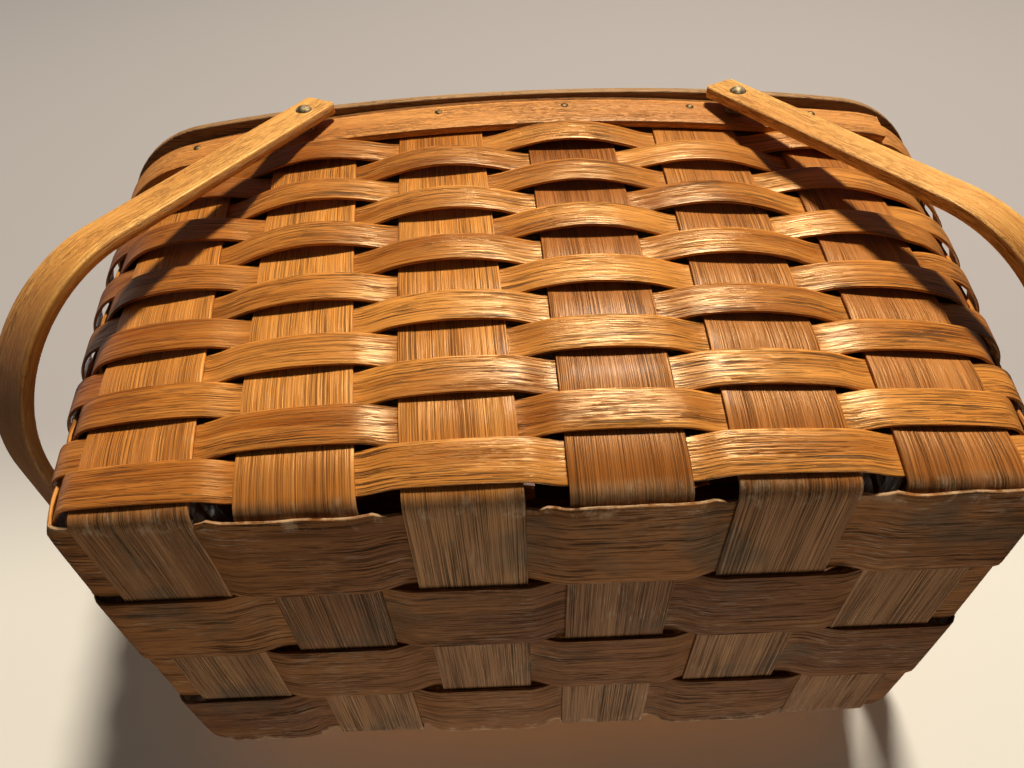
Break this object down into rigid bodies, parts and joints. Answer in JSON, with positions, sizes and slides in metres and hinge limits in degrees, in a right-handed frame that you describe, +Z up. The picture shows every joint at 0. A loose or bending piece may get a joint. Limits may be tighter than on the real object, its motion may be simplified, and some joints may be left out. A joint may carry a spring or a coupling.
{
  "type": "picnic basket",
  "caption": "Woven wood splint picnic basket, flared and rectangular, with two bent swing handles riveted to a hooped rim and a flat lift-off board lid.",
  "frame": {"origin": "middle of the bottom, on the surface that the basket stands on", "axes": "+X to the right along the long side, -Y is the long side shown in the picture, +Z up from the bottom to the rim"},
  "size_m": [0.5664, 0.3546, 0.3033],
  "materials": {
    "stake_oak": "varnished oak splint, satin, fine vertical grain, duller and stained on the bottom",
    "weaver_oak": "varnished orange-brown oak splint, glossy",
    "rim_oak": "varnished oak hoop, satin",
    "handle_oak": "honey-coloured varnished bent oak, satin",
    "lid_oak": "varnished board, satin",
    "rivet_steel": "dull domed steel",
    "nail_brass": "small tarnished brass nails"
  },
  "bodies": {
    "basket": {"cross_stake_1": "stake_oak", "cross_stake_2": "stake_oak", "cross_stake_3": "stake_oak", "cross_stake_4": "stake_oak", "cross_stake_5": "stake_oak", "cross_stake_6": "stake_oak", "long_stake_1": "stake_oak", "long_stake_2": "stake_oak", "long_stake_3": "stake_oak", "long_stake_4": "stake_oak", "weaver_01": "weaver_oak", "weaver_02": "weaver_oak", "weaver_03": "weaver_oak", "weaver_04": "weaver_oak", "weaver_05": "weaver_oak", "weaver_06": "weaver_oak", "weaver_07": "weaver_oak", "weaver_08": "weaver_oak", "weaver_09": "weaver_oak", "weaver_10": "weaver_oak", "weaver_11": "weaver_oak", "weaver_12": "weaver_oak", "rim_outer_hoop": "rim_oak", "rim_inner_hoop": "rim_oak", "rim_nail_01": "nail_brass", "rim_nail_02": "nail_brass", "rim_nail_03": "nail_brass", "rim_nail_04": "nail_brass", "rim_nail_05": "nail_brass", "rim_nail_06": "nail_brass", "rim_nail_07": "nail_brass", "rim_nail_08": "nail_brass", "rim_nail_09": "nail_brass", "rim_nail_10": "nail_brass", "rim_nail_11": "nail_brass", "rim_nail_12": "nail_brass", "rim_nail_13": "nail_brass", "rim_nail_14": "nail_brass", "rim_nail_15": "nail_brass", "rim_nail_16": "nail_brass", "rim_nail_17": "nail_brass", "rim_nail_18": "nail_brass", "rivet_front_left": "rivet_steel", "rivet_back_left": "rivet_steel", "rivet_front_right": "rivet_steel", "rivet_back_right": "rivet_steel", "washer_front_left": "rivet_steel", "washer_back_left": "rivet_steel", "washer_front_right": "rivet_steel", "washer_back_right": "rivet_steel"},
    "handle_left": {"handle_left": "handle_oak"},
    "handle_right": {"handle_right": "handle_oak"},
    "lid": {"lid_board": "lid_oak", "lid_batten_left": "lid_oak", "lid_batten_right": "lid_oak"}
  },
  "joints": [
    {"name": "left_handle_swing", "type": "hinge", "parent": "basket", "child": "handle_left", "pos_m": [-0.1335, 0, 0.2635], "axis": [0, 1, 0], "range_deg": [0, 180]},
    {"name": "right_handle_swing", "type": "hinge", "parent": "basket", "child": "handle_right", "pos_m": [0.1335, 0, 0.2635], "axis": [0, -1, 0], "range_deg": [0, 180]},
    {"name": "lid_lift", "type": "slide", "parent": "basket", "child": "lid", "axis": [0, 0, 1], "range_m": [0, 0.08]}
  ]
}
